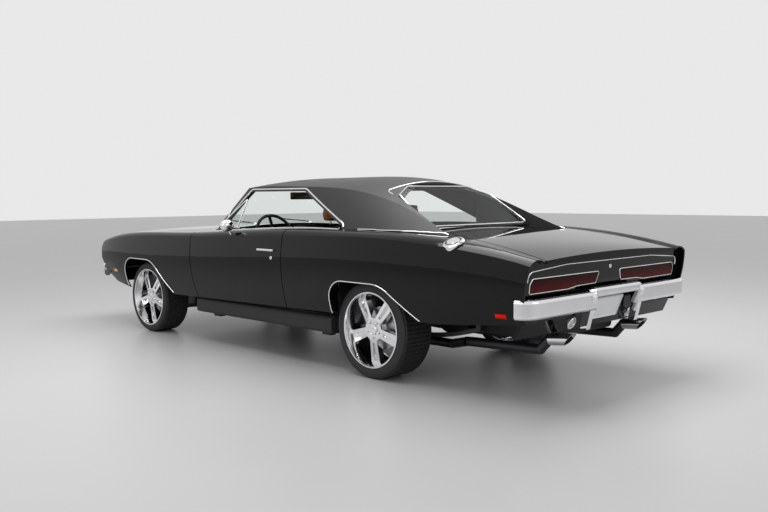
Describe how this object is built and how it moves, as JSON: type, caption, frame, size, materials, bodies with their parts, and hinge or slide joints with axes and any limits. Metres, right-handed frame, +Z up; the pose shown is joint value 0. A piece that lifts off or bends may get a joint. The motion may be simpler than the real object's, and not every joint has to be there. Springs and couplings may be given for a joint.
{
  "type": "muscle car",
  "caption": "Long fastback hardtop car with hinged doors, hood and trunk lid, steered front wheels, a hollow cabin with seats, and spoked wheels.",
  "frame": {"origin": "on the ground under the middle of the car", "axes": "+X forward, +Y to the car's left, +Z up"},
  "size_m": [5.26, 2.048, 1.388],
  "materials": {
    "black_paint": "gloss",
    "black_vinyl": "grained matte",
    "clear_glass": "clear",
    "bright_chrome": "polished",
    "dark_grille": "matte",
    "amber_lens": "gloss",
    "red_lens": "gloss",
    "underbody_black": "matte",
    "dark_iron": "matte",
    "engine_iron": "painted",
    "bare_steel": "satin",
    "tan_leather": "soft",
    "dark_plastic": "matte",
    "polished_alloy": "polished",
    "tyre_rubber": "matte"
  },
  "bodies": {
    "body": {"cowl_and_firewall": "black_paint", "dashboard": "dark_plastic", "drive_shaft": "bare_steel", "engine_and_gearbox": "engine_iron", "exhaust": "bare_steel", "floor_pan": "underbody_black", "front_bumper": "bright_chrome", "front_fender_left": "black_paint", "front_fender_right": "black_paint", "front_grille": "dark_grille", "front_header": "black_paint", "front_markers": "amber_lens", "front_seat_left": "tan_leather", "front_seat_right": "tan_leather", "front_suspension": "dark_iron", "front_valance": "black_paint", "fuel_filler_cap": "bright_chrome", "fuel_tank": "bare_steel", "leaf_springs": "dark_iron", "quarter_panel_left": "black_paint", "quarter_panel_right": "black_paint", "rear_axle": "dark_iron", "rear_bumper": "bright_chrome", "rear_deck": "black_paint", "rear_seat": "tan_leather", "rear_window": "clear_glass", "roof_and_pillars": "black_vinyl", "tail_lamps": "red_lens", "tail_panel": "black_paint", "windscreen": "clear_glass"},
    "door_left": {"door_left": "black_paint", "vent_window_left": "clear_glass", "door_mirror_left": "bright_chrome", "door_handle_left": "bright_chrome"},
    "door_right": {"door_right": "black_paint", "vent_window_right": "clear_glass", "door_mirror_right": "bright_chrome", "door_handle_right": "bright_chrome"},
    "hood": {"hood": "black_paint"},
    "trunk_lid": {"trunk_lid": "black_paint"},
    "knuckle_left": {"knuckle_left": "dark_iron"},
    "knuckle_right": {"knuckle_right": "dark_iron"},
    "steering_wheel": {"steering_wheel": "dark_plastic"},
    "wheel_front_left": {"rim_front_left": "polished_alloy", "tyre_front_left": "tyre_rubber"},
    "wheel_front_right": {"rim_front_right": "polished_alloy", "tyre_front_right": "tyre_rubber"},
    "wheel_rear_left": {"rim_rear_left": "polished_alloy", "tyre_rear_left": "tyre_rubber"},
    "wheel_rear_right": {"rim_rear_right": "polished_alloy", "tyre_rear_right": "tyre_rubber"}
  },
  "joints": [
    {"name": "steer_left", "type": "hinge", "parent": "body", "child": "knuckle_left", "pos_m": [1.715, 0.69, 0.318], "axis": [0, 0, 1], "range_deg": [-30, 30]},
    {"name": "spin_front_left", "type": "hinge", "parent": "knuckle_left", "child": "wheel_front_left", "pos_m": [1.715, 0.745, 0.318], "axis": [0, 1, 0], "continuous": true},
    {"name": "spin_rear_left", "type": "hinge", "parent": "body", "child": "wheel_rear_left", "pos_m": [-1.257, 0.735, 0.334], "axis": [0, 1, 0], "continuous": true},
    {"name": "door_left_swing", "type": "hinge", "parent": "body", "child": "door_left", "pos_m": [0.996, 0.892, 0.655], "axis": [0, 0, -1], "range_deg": [0, 65]},
    {"name": "steer_right", "type": "hinge", "parent": "body", "child": "knuckle_right", "pos_m": [1.715, -0.69, 0.318], "axis": [0, 0, 1], "range_deg": [-30, 30]},
    {"name": "spin_front_right", "type": "hinge", "parent": "knuckle_right", "child": "wheel_front_right", "pos_m": [1.715, -0.745, 0.318], "axis": [0, 1, 0], "continuous": true},
    {"name": "spin_rear_right", "type": "hinge", "parent": "body", "child": "wheel_rear_right", "pos_m": [-1.257, -0.735, 0.334], "axis": [0, 1, 0], "continuous": true},
    {"name": "door_right_swing", "type": "hinge", "parent": "body", "child": "door_right", "pos_m": [0.996, -0.892, 0.655], "axis": [0, 0, 1], "range_deg": [0, 65]},
    {"name": "hood_lift", "type": "hinge", "parent": "body", "child": "hood", "pos_m": [0.845, 0, 0.941], "axis": [0, -1, 0], "range_deg": [0, 55]},
    {"name": "trunk_lid_lift", "type": "hinge", "parent": "body", "child": "trunk_lid", "pos_m": [-1.59, 0, 0.968], "axis": [0, 1, 0], "range_deg": [0, 65]},
    {"name": "steering_wheel_turn", "type": "hinge", "parent": "body", "child": "steering_wheel", "pos_m": [0.42, 0.37, 0.9], "axis": [-0.9135, 0, 0.4067], "range_deg": [-450, 450]}
  ],
  "couplings": [
    {"joint": "steer_right", "follows": "steer_left", "ratio": 1},
    {"joint": "steering_wheel_turn", "follows": "steer_left", "ratio": 15}
  ]
}
